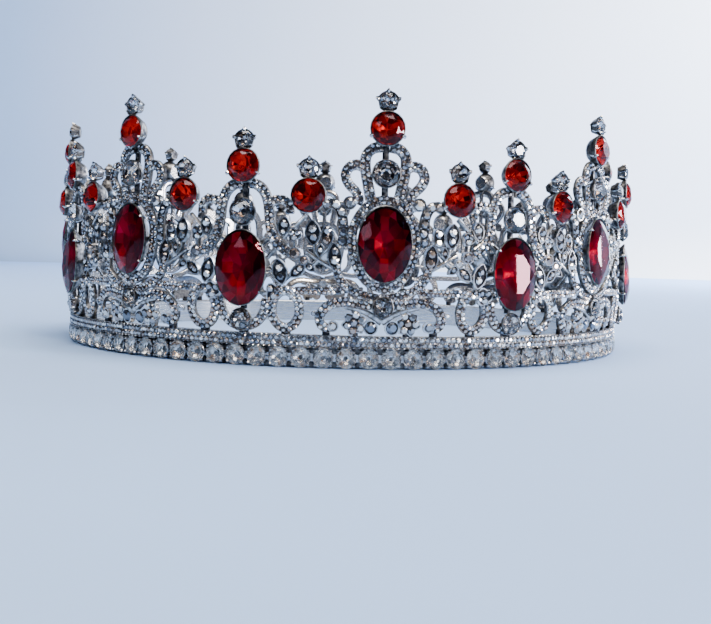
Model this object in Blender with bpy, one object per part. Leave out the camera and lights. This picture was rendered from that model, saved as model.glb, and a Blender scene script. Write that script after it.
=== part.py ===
"""Round baroque crown: eight openwork castings on a stone-set base ring.

Metres, +Z up. The origin is at the centre of the base, on the plane it rests on.
A tall motif faces -Y. Motif outlines are given in millimetres as (x, h): x is the
arc length from the motif's own axis at STONE_RADIUS, and h is the height over the base.
"""
import math

import bmesh
import bpy
from mathutils import Matrix, Vector

MM = 0.001

# Driving dimensions, in millimetres
STONE_RADIUS = 91.0        # radius of the cylinder that carries the girdles of the stones
WALL_FRONT = 89.4          # outer face of the wall castings
WALL_THICKNESS = 2.0
GAP = 0.3                  # clearance between neighbouring pieces
TIP_TOP = 68.9             # top of the tallest claw
RAIL_TOP = 8.3
FOOT_BOTTOM = RAIL_TOP + GAP
PANELS = 8                 # one tall, one medium and two small tips each
FOOT_INSET = 3.2           # how far the wall's curve would come in at the base
INSET_TOP = 22.0           # the wall is upright above this height
RING_SEGMENTS = 48
FLAT_ANGLE = 20.0          # outline corners flatter than this are left out

CELL_WIDTH = 2 * math.pi * STONE_RADIUS / PANELS
MEDIUM_X = CELL_WIDTH / 2  # axis of the medium motif, from the tall one
SMALL_X = 19.0             # axis of a small tip, from the tall one

PAVE_WIDTH = 1.9           # a strand set with one row of small stones
STEM_WIDTH = 1.1           # a plain wire stem
STRAND_STEP = 6.0          # length of one straight stretch of a strand

# Heights of the stones that stand over each other on a motif's axis
TALL = {"tip": 66.0, "red": 59.2, "clear": 48.1, "oval": 31.0, "low": 15.6}
MEDIUM = {"tip": 56.0, "red": 49.6, "clear": 38.2, "oval": 24.4, "low": 11.4}
SMALL = {"tip": 49.0, "red": 42.4}
CLAW_OVER_TIP = TIP_TOP - TALL["tip"]

RED_DIAMETER = 8.3
OVAL_WIDTH = 13.2
OVAL_HEIGHT = 18.6
STONE_BACK = WALL_FRONT + GAP
GIRDLE_DEPTH = STONE_RADIUS - STONE_BACK
CROWN_HEIGHT = 1.6         # from the girdle to the table of a stone

# Rings of the base, as (inner radius, outer radius, bottom, top)
BASE_BAND = (84.8, 85.6, 0.0, 8.2)
CUP_CHAIN = (85.9, 88.6, 0.0, 5.0)
PAVE_RAIL = (85.9, 88.4, 5.3, RAIL_TOP)

# Strands of the tall motif, mirrored on its axis: (width, points)
TALL_STRANDS = {
    "arch": (PAVE_WIDTH, [(1.6, 55.4), (4.7, 53.0), (4.9, 47.4), (3.8, 40.4)]),
    "scroll": (PAVE_WIDTH, [(4.9, 49.6), (9.2, 49.4), (7.4, 44.4), (7.0, 40.6)]),
    "skirt": (PAVE_WIDTH, [(11.8, 25.4), (10.4, 22.2), (5.6, 20.2), (0.0, 18.9)]),
    "bow": (2.2, [(0.0, 16.9), (8.6, 16.8), (15.4, 13.8), (14.2, 9.9), (12.0, 10.2)]),
    "bow_point": (STEM_WIDTH, [(4.6, 15.6), (0.0, 12.0)]),
    "fan_stem": (2.4, [(6.8, 16.4), (6.8, FOOT_BOTTOM)]),
    "bow_foot": (2.2, [(13.6, 10.2), (13.6, FOOT_BOTTOM)]),
    "arc": (2.2, [(15.8, 40.2), (11.4, 39.6), (9.9, 34.0), (12.0, 28.0)]),
    "spray_stem": (STEM_WIDTH, [(12.0, 24.8), (19.6, 28.6)]),
    "spray_twig": (STEM_WIDTH, [(17.0, 27.4), (17.7, 32.0)]),
}
# The bar meets the medium motif of its own panel, and stops short of the next panel's
BAR_HEIGHT = 19.2
BAR_WIDTH = 1.7
BAR_START = 6.0
BAR_JOINED_END = 23.2
BAR_FREE_END = 20.8

# Strands of the medium motif, mirrored on its axis
MEDIUM_STRANDS = {
    "arch": (PAVE_WIDTH, [(1.6, 46.6), (5.8, 42.8), (7.0, 34.6), (13.4, 28.1)]),
    "scroll": (PAVE_WIDTH, [(6.2, 40.4), (10.6, 41.2), (11.0, 36.2)]),
    "point": (PAVE_WIDTH, [(6.4, 17.0), (4.8, 12.4), (0.0, 9.9)]),
    "leaf_stem": (STEM_WIDTH, [(6.4, 18.6), (15.0, 25.6)]),
    "loop_foot": (2.2, [(11.3, 10.0), (11.3, FOOT_BOTTOM)]),
}
LOOP_CENTRE = (11.3, 14.4)
LOOP_RADII = (3.6, 4.6)

# Plates that back the stones, as (x, h, half width, half height)
TALL_PLATES = {
    "small_round": (8.7, 40.4, 2.2, 2.0),
    "leaf": (12.2, 27.8, 1.6, 3.4),
    "berry": (12.9, 32.7, 2.4, 1.8),
    "spray_leaf": (17.7, 33.4, 1.9, 3.1),
    "fan": (6.6, 12.2, 2.8, 2.7),
}
MEDIUM_PLATES = {
    "pear": (10.9, 34.8, 1.4, 2.1),
    "berry": (12.9, 31.2, 1.5, 3.0),
    "leaf": (9.8, 23.4, 1.4, 2.8),
    "spray_leaf": (14.0, 24.4, 1.3, 2.0),
    "trefoil": (8.2, 18.6, 2.2, 1.9),
}


def clear_scene():
    for item in list(bpy.data.objects):
        bpy.data.objects.remove(item, do_unlink=True)


def make_material(name, colour, metallic, roughness):
    material = bpy.data.materials.new(name)
    material.use_nodes = True
    shader = material.node_tree.nodes["Principled BSDF"]
    shader.inputs["Base Color"].default_value = (*colour, 1.0)
    shader.inputs["Metallic"].default_value = metallic
    shader.inputs["Roughness"].default_value = roughness
    return material


def antique_silver():
    return make_material("antique_silver_casting", (0.42, 0.43, 0.45), 1.0, 0.32)


def bright_silver():
    return make_material("bright_silver_strip", (0.62, 0.63, 0.65), 1.0, 0.22)


def clear_glass():
    return make_material("clear_rhinestone_row", (0.78, 0.82, 0.86), 0.2, 0.08)


def ruby_glass():
    return make_material("ruby_glass", (0.22, 0.005, 0.02), 0.0, 0.06)


def siam_glass():
    return make_material("siam_red_glass", (0.55, 0.02, 0.01), 0.0, 0.06)


def add_object(name, mesh, material):
    item = bpy.data.objects.new(name, mesh)
    bpy.context.collection.objects.link(item)
    if not mesh.materials:
        mesh.materials.append(material)
    return item


def finish_mesh(mesh_editor, name, smooth_angle):
    bmesh.ops.recalc_face_normals(mesh_editor, faces=mesh_editor.faces)
    mesh = bpy.data.meshes.new(name)
    mesh_editor.to_mesh(mesh)
    mesh_editor.free()
    mesh.shade_smooth()
    mesh.set_sharp_from_angle(angle=math.radians(smooth_angle))
    return mesh


# Flat outlines: the wall is drawn flat in X and Z, then bent round the axis

def smooth_route(points, step):
    """Points about one step apart along a smooth curve through the given ones."""
    route = [Vector(point) for point in points]
    if len(route) == 2:
        return route
    padded = [2 * route[0] - route[1], *route, 2 * route[-1] - route[-2]]
    result = [route[0]]
    for before, start, end, after in zip(padded, padded[1:], padded[2:], padded[3:]):
        pieces = max(1, round((end - start).length / step))
        for index in range(1, pieces + 1):
            t = index / pieces
            linear = (end - before) * t
            square = (2 * before - 5 * start + 4 * end - after) * t ** 2
            cube = (3 * start - before - 3 * end + after) * t ** 3
            result.append(start + (linear + square + cube) / 2)
    return result


def strand_outline(points, width):
    """The outline of a flat strand of even width along a smooth route."""
    route = smooth_route(points, STRAND_STEP)
    left = []
    right = []
    for index, point in enumerate(route):
        along = route[min(index + 1, len(route) - 1)] - route[max(index - 1, 0)]
        side = Vector((-along.y, along.x)).normalized() * width / 2
        left.append(point + side)
        right.append(point - side)
    return left + right[::-1]


def ellipse_outline(x, h, half_width, half_height, corners):
    phase = 0.0 if corners == 4 else 0.5
    turns = [2 * math.pi * (index + phase) / corners for index in range(corners)]
    return [Vector((x + half_width * math.cos(turn), h + half_height * math.sin(turn)))
            for turn in turns]


def flat_plate(outline):
    """A closed plate over an outline, from the wall's back at Y = thickness to its front."""
    editor = bmesh.new()
    corners = [editor.verts.new((point.x, 0.0, point.y)) for point in outline]
    face = editor.faces.new(corners)
    extruded = bmesh.ops.extrude_face_region(editor, geom=[face])
    moved = [item for item in extruded["geom"] if isinstance(item, bmesh.types.BMVert)]
    bmesh.ops.translate(editor, vec=(0.0, WALL_THICKNESS, 0.0), verts=moved)
    bmesh.ops.recalc_face_normals(editor, faces=editor.faces)
    return editor


def loop_plate(x, h, half_width, half_height, width):
    """A closed ring of even width round an oval opening."""
    corners = 8
    editor = bmesh.new()
    rims = []
    for offset in (width / 2, -width / 2):
        outline = ellipse_outline(x, h, half_width + offset, half_height + offset, corners)
        rims.append([editor.verts.new((point.x, 0.0, point.y)) for point in outline])
    outer, inner = rims
    for index in range(corners):
        follow = (index + 1) % corners
        editor.faces.new((outer[index], outer[follow], inner[follow], inner[index]))
    extruded = bmesh.ops.extrude_face_region(editor, geom=list(editor.faces))
    moved = [item for item in extruded["geom"] if isinstance(item, bmesh.types.BMVert)]
    bmesh.ops.translate(editor, vec=(0.0, WALL_THICKNESS, 0.0), verts=moved)
    bmesh.ops.recalc_face_normals(editor, faces=editor.faces)
    return editor


def claw_outline(x, tip_height):
    """The seat of a tip stone, drawn out to the point of its upper claw."""
    seat = 2.6
    base = [(x + seat * math.cos(turn), tip_height + seat * math.sin(turn))
            for turn in [math.radians(angle) for angle in (150, 210, 270, 330, 390)]]
    return [Vector(point) for point in base] + [Vector((x, tip_height + CLAW_OVER_TIP))]


def finial_outlines(x, heights):
    """Seats of the tip stone and of the red stone under it, and the stems between."""
    red_seat = RED_DIAMETER / 2 + 0.2
    outlines = [claw_outline(x, heights["tip"])]
    outlines.append(ellipse_outline(x, heights["red"], red_seat, red_seat, 8))
    outlines.append(strand_outline([(x, heights["tip"]), (x, heights["red"])], 2.4))
    return outlines


def tall_outlines():
    outlines = finial_outlines(0.0, TALL)
    outlines.append(ellipse_outline(0.0, TALL["clear"], 3.7, 3.7, 8))
    outlines.append(strand_outline([(0.0, TALL["red"]), (0.0, TALL["clear"])], 1.8))
    outlines.append(ellipse_outline(0.0, 30.65, 8.2, 12.0, 12))
    outlines.append(ellipse_outline(0.0, TALL["low"], 3.1, 3.1, 6))
    outlines.append(strand_outline([(0.0, 20.0), (0.0, TALL["low"])], 3.0))
    for side in (1, -1):
        for width, points in TALL_STRANDS.values():
            outlines.append(strand_outline([(side * x, h) for x, h in points], width))
        for x, h, half_width, half_height in TALL_PLATES.values():
            outlines.append(ellipse_outline(side * x, h, half_width, half_height, 4))
        outlines.extend(finial_outlines(side * SMALL_X, SMALL))
    bar = [(-BAR_FREE_END, BAR_HEIGHT), (-BAR_START, BAR_HEIGHT)]
    outlines.append(strand_outline(bar, BAR_WIDTH))
    bar = [(BAR_START, BAR_HEIGHT), (BAR_JOINED_END, BAR_HEIGHT)]
    outlines.append(strand_outline(bar, BAR_WIDTH))
    return outlines


def medium_outlines():
    outlines = finial_outlines(MEDIUM_X, MEDIUM)
    outlines.append(ellipse_outline(MEDIUM_X, MEDIUM["clear"], 3.4, 3.4, 8))
    outlines.append(strand_outline([(MEDIUM_X, MEDIUM["red"]), (MEDIUM_X, MEDIUM["oval"])], 1.8))
    outlines.append(ellipse_outline(MEDIUM_X, MEDIUM["oval"], 6.7, 9.2, 10))
    outlines.append(ellipse_outline(MEDIUM_X, MEDIUM["low"], 2.8, 2.8, 6))
    foot = [(MEDIUM_X, MEDIUM["oval"]), (MEDIUM_X, FOOT_BOTTOM)]
    outlines.append(strand_outline(foot, 2.2))
    for side in (1, -1):
        for width, points in MEDIUM_STRANDS.values():
            outlines.append(strand_outline([(MEDIUM_X + side * x, h) for x, h in points], width))
        for x, h, half_width, half_height in MEDIUM_PLATES.values():
            plate = ellipse_outline(MEDIUM_X + side * x, h, half_width, half_height, 4)
            outlines.append(plate)
    return outlines


def bend_round_axis(mesh_editor):
    """Bends the flat wall, whose front is at Y = 0, onto the crown's cylinder.

    Its foot curves in to stand on the rail.
    """
    for vertex in mesh_editor.verts:
        angle = vertex.co.x / STONE_RADIUS
        height = vertex.co.z
        inset = FOOT_INSET * max(0.0, 1.0 - height / INSET_TOP) ** 2
        radius = WALL_FRONT - inset - vertex.co.y
        vertex.co = Vector((radius * math.sin(angle), -radius * math.cos(angle), height)) * MM


def panel_mesh():
    """One casting: the union of its flat plates, bent round the axis."""
    plates = [flat_plate(outline) for outline in tall_outlines() + medium_outlines()]
    for side in (1, -1):
        x, h = LOOP_CENTRE
        plates.append(loop_plate(MEDIUM_X + side * x, h, *LOOP_RADII, 2.0))
    cutters = bpy.data.collections.new("panel_plates")
    scratch = []
    for index, editor in enumerate(plates):
        mesh = bpy.data.meshes.new(f"panel_plate_{index}")
        editor.to_mesh(mesh)
        editor.free()
        plate = bpy.data.objects.new(mesh.name, mesh)
        scratch.append(plate)
        if index == 0:
            bpy.context.collection.objects.link(plate)
        else:
            cutters.objects.link(plate)
    bpy.context.scene.collection.children.link(cutters)
    union = scratch[0].modifiers.new("union", "BOOLEAN")
    union.operation = "UNION"
    union.operand_type = "COLLECTION"
    union.collection = cutters
    union.solver = "EXACT"
    evaluated = scratch[0].evaluated_get(bpy.context.evaluated_depsgraph_get())
    editor = bmesh.new()
    editor.from_mesh(evaluated.to_mesh())
    evaluated.to_mesh_clear()
    for plate in scratch:
        bpy.data.objects.remove(plate, do_unlink=True)
    bpy.data.collections.remove(cutters)
    bmesh.ops.remove_doubles(editor, verts=editor.verts, dist=0.02)
    bmesh.ops.dissolve_limit(editor, angle_limit=math.radians(FLAT_ANGLE),
                             verts=editor.verts, edges=editor.edges)
    loose = [vertex for vertex in editor.verts if not vertex.link_faces]
    bmesh.ops.delete(editor, geom=loose, context="VERTS")
    bmesh.ops.triangulate(editor, faces=editor.faces)
    bend_round_axis(editor)
    return finish_mesh(editor, "wall_panel", 40)


def stone_mesh(name, width, height, corners):
    """A cut stone: flat back, girdle, and a crown up to its table, with its back at Y = 0."""
    levels = [(0.0, 0.55), (GIRDLE_DEPTH, 1.0), (GIRDLE_DEPTH + CROWN_HEIGHT, 0.6)]
    editor = bmesh.new()
    outline = ellipse_outline(0.0, 0.0, width / 2, height / 2, corners)
    rims = []
    for depth, size in levels:
        rim = [editor.verts.new(Vector((point.x * size, -depth, point.y * size)) * MM)
               for point in outline]
        rims.append(rim)
    editor.faces.new(rims[0])
    editor.faces.new(rims[-1])
    for lower, upper in zip(rims, rims[1:]):
        for index in range(corners):
            follow = (index + 1) % corners
            editor.faces.new((lower[index], lower[follow], upper[follow], upper[index]))
    return finish_mesh(editor, name, 10)


def ring_mesh(name, inner, outer, bottom, top):
    """A ring of rectangular section, turned round the Z axis."""
    editor = bmesh.new()
    corners = [(inner, bottom), (outer, bottom), (outer, top), (inner, top)]
    section = [editor.verts.new(Vector((radius, 0.0, height)) * MM) for radius, height in corners]
    edges = [editor.edges.new((section[index], section[(index + 1) % 4])) for index in range(4)]
    bmesh.ops.spin(editor, geom=edges, cent=(0, 0, 0), axis=(0, 0, 1),
                   angle=2 * math.pi, steps=RING_SEGMENTS, use_merge=True)
    bmesh.ops.remove_doubles(editor, verts=editor.verts, dist=0.01 * MM)
    return finish_mesh(editor, name, 40)


def place_on_wall(item, parent, arc, height, radius):
    """Stands a piece on the cylinder, facing out, at an arc length from the front axis."""
    angle = arc / STONE_RADIUS
    item.parent = parent
    item.location = Vector((radius * math.sin(angle), -radius * math.cos(angle), height)) * MM
    item.rotation_euler = (0.0, 0.0, angle)


def build_rings(parent):
    silver = bright_silver()
    glass = clear_glass()
    rings = [
        ("base_band", BASE_BAND, silver),
        ("cup_chain", CUP_CHAIN, glass),
        ("pave_rail", PAVE_RAIL, glass),
    ]
    for name, sizes, material in rings:
        ring = add_object(name, ring_mesh(name, *sizes), material)
        ring.parent = parent


def build_panels(parent):
    mesh = panel_mesh()
    silver = antique_silver()
    for index in range(PANELS):
        panel = add_object(f"wall_panel_{index + 1}", mesh, silver)
        panel.parent = parent
        panel.rotation_euler = (0.0, 0.0, 2 * math.pi * index / PANELS)


def build_stones(parent):
    oval = stone_mesh("oval_stone", OVAL_WIDTH, OVAL_HEIGHT, 12)
    red = stone_mesh("red_stone", RED_DIAMETER, RED_DIAMETER, 8)
    ruby = ruby_glass()
    siam = siam_glass()
    for index in range(PANELS):
        start = index * CELL_WIDTH
        number = index + 1
        stones = [
            (f"oval_stone_tall_{number}", oval, ruby, start, TALL["oval"]),
            (f"oval_stone_medium_{number}", oval, ruby, start + MEDIUM_X, MEDIUM["oval"]),
            (f"red_stone_tall_{number}", red, siam, start, TALL["red"]),
            (f"red_stone_medium_{number}", red, siam, start + MEDIUM_X, MEDIUM["red"]),
            (f"red_stone_small_left_{number}", red, siam, start - SMALL_X, SMALL["red"]),
            (f"red_stone_small_right_{number}", red, siam, start + SMALL_X, SMALL["red"]),
        ]
        for name, mesh, material, arc, height in stones:
            stone = add_object(name, mesh, material)
            place_on_wall(stone, parent, arc, height, STONE_BACK)


def build_crown():
    clear_scene()
    crown = bpy.data.objects.new("crown", None)
    bpy.context.collection.objects.link(crown)
    build_rings(crown)
    build_panels(crown)
    build_stones(crown)


build_crown()
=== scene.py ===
"""Round baroque crown: silver-plated openwork castings set with red and clear rhinestones.

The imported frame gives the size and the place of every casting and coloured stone. The wall
is drawn flat, in millimetres, as (x, h): x is the arc length from the axis of a tall motif,
measured on the stones' cylinder, and h is the height over the base. It is then bent round.
"""
import math
import random

import bmesh
import bpy
from mathutils import Matrix, Vector


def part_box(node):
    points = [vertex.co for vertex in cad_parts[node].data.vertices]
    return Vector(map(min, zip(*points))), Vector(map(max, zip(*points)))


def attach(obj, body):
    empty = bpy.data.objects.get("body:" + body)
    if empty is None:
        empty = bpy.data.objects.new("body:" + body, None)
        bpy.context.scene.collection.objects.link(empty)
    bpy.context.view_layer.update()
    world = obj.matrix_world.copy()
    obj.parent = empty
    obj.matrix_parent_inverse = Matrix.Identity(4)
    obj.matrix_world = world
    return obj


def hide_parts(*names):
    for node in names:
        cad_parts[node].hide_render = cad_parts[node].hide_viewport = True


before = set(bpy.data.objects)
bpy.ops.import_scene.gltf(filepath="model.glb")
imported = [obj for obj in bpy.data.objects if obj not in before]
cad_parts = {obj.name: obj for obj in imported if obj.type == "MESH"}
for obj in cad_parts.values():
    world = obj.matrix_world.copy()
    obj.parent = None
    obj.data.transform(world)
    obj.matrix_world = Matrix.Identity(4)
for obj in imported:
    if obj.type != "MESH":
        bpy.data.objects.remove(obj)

MM = 0.001
FULL_TURN = 2 * math.pi
SEED = 7

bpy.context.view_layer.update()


def in_mm(node):
    """Centre, lowest and highest corner of a node of the frame, in millimetres."""
    low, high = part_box(node)
    return (low + high) / 2 / MM, low / MM, high / MM


# Layout, in millimetres
PANELS = 8
CELL_ANGLE = FULL_TURN / PANELS
STONE_RADIUS = 91.0        # of the cylinder that the girdles of the coloured stones stand on
CLEAR_STEP = 0.4           # the clear stones sit this much further in
WALL_FRONT = 89.4
FOOT_INSET = 3.2           # the wall curves in towards its foot, by this at the very base
INSET_TOP = 22.0           # and is upright above this height
MEDIUM_X = STONE_RADIUS * CELL_ANGLE / 2
SMALL_X = 19.0
RAIL_LOW = in_mm("pave_rail")[1].z
RAIL_HIGH = in_mm("pave_rail")[2].z
RAIL_FRONT = in_mm("pave_rail")[2].x
CUPS_HIGH = in_mm("cup_chain")[2].z
CUPS_FRONT = in_mm("cup_chain")[2].x
BAND_INNER = 84.8
BAND_OUTER = in_mm("base_band")[2].x
BAND_EDGE = 0.2            # chamfer along the strip's edges
SOLDER_GAP = 0.3           # between the strip and what is soldered on it

# The stones on each motif's own axis: heights of their middles, and half widths of the clear ones
TALL = {"tip": 65.9, "red": in_mm("red_stone_tall_1")[0].z, "clear": 48.2, "clear_half": 3.3,
        "oval": in_mm("oval_stone_tall_1")[0].z, "low": 15.5, "low_half": 2.4}
MEDIUM = {"tip": 56.0, "red": in_mm("red_stone_medium_1")[0].z, "clear": 38.2,
          "clear_half": 3.25, "oval": in_mm("oval_stone_medium_1")[0].z, "low": 11.6,
          "low_half": 2.6}
SMALL = {"tip": 49.0, "red": in_mm("red_stone_small_left_1")[0].z}
MOTIFS = ((0.0, TALL), (MEDIUM_X, MEDIUM))
TIPS = (*MOTIFS, (-SMALL_X, SMALL), (SMALL_X, SMALL))

# Stones
OVAL_HALF = (6.6, 9.3)
RED_HALF = 4.1
TIP_HALF = 2.25
CROWN = 1.55               # girdle to table of a coloured stone
PAVILION = 3.3             # girdle to point of a coloured stone
CLEAR_CUT = (0.42, 0.75)   # crown and pavilion of a clear stone, as shares of its half width
OVAL_LEAN = -0.05          # the coloured stones face slightly upwards, in radians
ROUND_LEAN = -0.11
PAVE_PITCH = 1.32          # from stone to stone along a row
PAVE_TILT = 0.24           # how far pave stones stray, in radians
PAVE_SIZES = (0.94, 1.07)  # and how much they differ
BASE_STONES = 98
BASE_HALF = 2.45
BASE_CUT = (0.95, 1.6)
RAIL_STONES = 396          # in each of the two rows
RAIL_HALF = 0.7

# Metal
STEP = 0.9                 # length of one extrusion step along a strand
SEAT = 1.4                 # thickness of a leaf or flower
RIM = (0.28, 0.0, 0.1)     # rim and floor of a leaf: width, depth and patina
FLOOR = (0.06, 0.3, 1.0)
STRUT_WIDTH = 1.7
STRUT_LIFT = -0.3
PAVE_GRAIN = 0.17          # radii of the grains that hold the stones
ARC_GRAIN = 0.26
RAIL_GRAIN = 0.2
FOOT_DEPTH = 1.6
FOOT_HEIGHT = 1.7
FOOT_ROUNDING = 0.18
SMOOTH_UP_TO = 35          # edges sharper than this, in degrees, stay crisp

# The studio, in metres
ROOM_RADIUS = 1.6
ROOM_CURVE = 0.10
ROOM_HEIGHT = 1.3

# Painted light of the foils, one colour a facet: from the darkest painted facets to the brightest
# painted flashes
CLEAR_PAINTED_FACET_LIGHT = [(0.0, "#22262c"), (0.15, "#8a6c54"), (0.3, "#787c84"), (0.5, "#bcc0c8"),
                (0.75, "#f8f8fa"), (1.0, "#ffdcb8")]
BASE_PAINTED_FACET_LIGHT = [(0.0, "#686460"), (0.12, "#b4b0aa"), (0.3, "#f4f0ea"), (0.7, "#ffffff"),
               (0.9, "#fff1e2"), (1.0, "#ffc896")]
RUBY_PAINTED_FACET_LIGHT = [(0.0, "#1c0c30"), (0.25, "#50163e"), (0.5, "#8e2848"), (0.75, "#c84058"),
               (0.86, "#ffa8a8"), (1.0, "#ffccc4")]
SIAM_PAINTED_FACET_LIGHT = [(0.0, "#280c24"), (0.3, "#7c1c30"), (0.55, "#d04838"), (0.8, "#ff8c68"),
               (1.0, "#ffc0a0")]


def foot_inset(height):
    """How far the wall has come in at a height."""
    return FOOT_INSET * max(0.0, 1.0 - height / INSET_TOP) ** 2


# Flat routes

def smooth_route(points, step, closed=False):
    """Points about one step apart along a smooth curve through the given ones."""
    route = [Vector(point) for point in points]
    if closed:
        padded = [route[-1], *route, route[0], route[1]]
    else:
        padded = [2 * route[0] - route[1], *route, 2 * route[-1] - route[-2]]
    result = [route[0]]
    for before, start, end, after in zip(padded, padded[1:], padded[2:], padded[3:]):
        pieces = max(1, round((end - start).length / step))
        for index in range(1, pieces + 1):
            t = index / pieces
            linear = (end - before) * t
            square = (2 * before - 5 * start + 4 * end - after) * t ** 2
            cube = (3 * start - before - 3 * end + after) * t ** 3
            result.append(start + (linear + square + cube) / 2)
    return result


def ellipse_points(x, h, half_width, half_height, count):
    turns = [FULL_TURN * index / count for index in range(count)]
    return [(x + half_width * math.cos(turn), h + half_height * math.sin(turn)) for turn in turns]


def mirrored(points):
    return [(-x, h) for x, h in points]


def moved(points, x):
    return [(x + px, h) for px, h in points]


# Extrusion, the one way that strands, stems and claws are made

def extrude_section(editor, section, matrices, closed=False, patina=None):
    """Extrudes a closed section through a row of places; patina is one value a corner."""
    layer = editor.verts.layers.float["patina"]
    ring = []
    for index, point in enumerate(section):
        vertex = editor.verts.new(matrices[0] @ Vector(point))
        vertex[layer] = patina[index] if patina else 0.0
        ring.append(vertex)
    edges = [editor.edges.new((ring[index - 1], ring[index])) for index in range(len(ring))]
    if not closed:
        editor.faces.new(ring)
    verts = ring
    for before, after in zip(matrices, matrices[1:]):
        made = bmesh.ops.extrude_edge_only(editor, edges=edges)["geom"]
        verts = [item for item in made if isinstance(item, bmesh.types.BMVert)]
        fresh = set(verts)
        edges = [item for item in made if isinstance(item, bmesh.types.BMEdge)
                 and item.verts[0] in fresh and item.verts[1] in fresh]
        bmesh.ops.transform(editor, matrix=after @ before.inverted(), verts=verts)
    if not closed:
        bmesh.ops.edgeloop_fill(editor, edges=edges)


def new_editor():
    editor = bmesh.new()
    editor.verts.layers.float.new("patina")
    editor.verts.layers.float.new("painted_stone_flash")
    editor.faces.layers.float.new("painted_facet_light")
    return editor


def flat_frames(route, widths, lift, closed=False):
    """Places along a flat route: X runs across the strand, Y comes out of the wall."""
    frames = []
    last = len(route) - 1
    for index, point in enumerate(route):
        if closed:
            # the last place of a closed route is its first one again
            along = route[(index + 1) % last] - route[(index - 1) % last]
        else:
            along = route[min(index + 1, last)] - route[max(index - 1, 0)]
        side = Vector((along.y, 0.0, -along.x)).normalized()
        ahead = Vector((along.x, 0.0, along.y)).normalized()
        share = index / last
        width = widths[0] + (widths[1] - widths[0]) * share
        matrix = Matrix((side * width, Vector((0, -1, 0)), ahead)).transposed().to_4x4()
        matrix.translation = Vector((point.x, -lift, point.y))
        frames.append(matrix)
    return frames


def set_patina(editor, verts, value):
    for vertex in verts:
        vertex[editor.verts.layers.float["patina"]] = value


# Sections as (across, out): across is a share of the width, out is in millimetres
PAVE_SECTION = [(-0.5, -1.0), (-0.5, -0.12), (-0.475, -0.02), (-0.44, -0.1), (-0.42, -0.3),
                (0.42, -0.3), (0.44, -0.1), (0.475, -0.02), (0.5, -0.12), (0.5, -1.0),
                (0.34, -1.3), (-0.34, -1.3)]
# Patina from 0, bright, to 1, black: one value for each corner of the section above it
PAVE_PATINA = [0.85, 0.55, 0.2, 0.5, 0.8, 0.8, 0.5, 0.2, 0.55, 0.85, 0.0, 0.0]
WIRE_SECTION = [(-0.5, -1.0), (-0.5, -0.5), (-0.3, -0.1), (0.0, 0.0), (0.3, -0.1),
                (0.5, -0.5), (0.5, -1.0), (0.25, -1.3), (-0.25, -1.3)]
WIRE_PATINA = [0.95, 0.75, 0.35, 0.15, 0.35, 0.75, 0.95, 0.0, 0.0]
STRUT_PATINA = [1.0, 1.0, 0.9, 0.8, 0.9, 1.0, 1.0, 0.0, 0.0]


def add_strand(editor, points, widths, lift, section, patina, closed=False):
    route = smooth_route(points, STEP, closed)
    frames = flat_frames(route, widths, lift, closed)
    corners = [(across, out, 0.0) for across, out in section]
    extrude_section(editor, corners, frames, closed, patina)


def stations(points, widths, pitch, closed=False, shift=0.5):
    """Evenly spaced (width, point, side) along a flat route, about one pitch apart."""
    route = smooth_route(points, 0.25, closed)
    lengths = [0.0]
    for start, end in zip(route, route[1:]):
        lengths.append(lengths[-1] + (end - start).length)
    total = lengths[-1]
    count = max(1, round(total / pitch))
    result = []
    index = 0
    for number in range(count):
        target = total * (number + shift) / count
        while lengths[index + 1] < target:
            index += 1
        along = (route[index + 1] - route[index]).normalized()
        part = (target - lengths[index]) / (lengths[index + 1] - lengths[index])
        point = route[index].lerp(route[index + 1], part)
        width = widths[0] + (widths[1] - widths[0]) * (target / total)
        result.append((width, point, Vector((along.y, -along.x))))
    return result


# Small repeated shapes, each made once and copied

def cut_stone(rings, half_width, half_height, flat):
    """A convex stone through rings of (size, out, corners, turn); Y is inwards.

    Faces that lie within the angle flat of each other become one facet.
    """
    editor = new_editor()
    for size, out, count, turn in rings:
        for corner in range(count):
            angle = FULL_TURN * (corner + turn) / count
            editor.verts.new((half_width * size * math.cos(angle), -out,
                              half_height * size * math.sin(angle)))
    bmesh.ops.convex_hull(editor, input=editor.verts)
    bmesh.ops.dissolve_limit(editor, angle_limit=flat, verts=editor.verts, edges=editor.edges)
    return editor


def small_stone_mesh():
    """A pave stone, one unit in radius: table, crown facets and a flat back."""
    rings = [(0.56, 0.5, 8, 0.0), (1.0, 0.06, 8, 0.5), (1.0, -0.05, 8, 0.5)]
    return to_mesh(cut_stone(rings, 1.0, 1.0, 0.02), "small_stone")


def large_stone_mesh(half_width, half_height, crown, pavilion, seed, calm=0.0):
    """A brilliant-cut stone; its crown takes material 0 and its foiled back material 1.

    Each facet of the back gets a random painted brightness, a painted flash or a painted dark
    reflection; calm evens out the middle ones.
    """
    rings = [(0.57, crown, 8, 0.5), (0.82, crown * 0.6, 8, 0.0), (1.0, 0.08, 16, 0.0),
             (1.0, -0.12, 16, 0.0), (0.72, -pavilion * 0.45, 16, 0.5),
             (0.40, -pavilion * 0.8, 8, 0.5), (0.08, -pavilion, 8, 0.0)]
    editor = cut_stone(rings, half_width, half_height, 0.03)
    editor.normal_update()
    # painted light: each facet of the foil gets its own random painted brightness
    depth = random.Random(seed)
    layer = editor.faces.layers.float["painted_facet_light"]
    for face in editor.faces:
        middle = face.calc_center_median()
        face.material_index = int(middle.y > 0.1)
        reach = Vector((middle.x / half_width, middle.z / half_height)).length
        spread = 1.0 - calm * max(0.0, 1.0 - reach)
        face[layer] = 0.5 + (depth.random() - 0.5) * spread
    return to_mesh(editor, "large_stone")


def bead_mesh():
    """A grain of metal that holds a stone, one unit in radius."""
    editor = new_editor()
    bmesh.ops.create_uvsphere(editor, u_segments=6, v_segments=4, radius=1.0)
    return to_mesh(editor, "bead")


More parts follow.
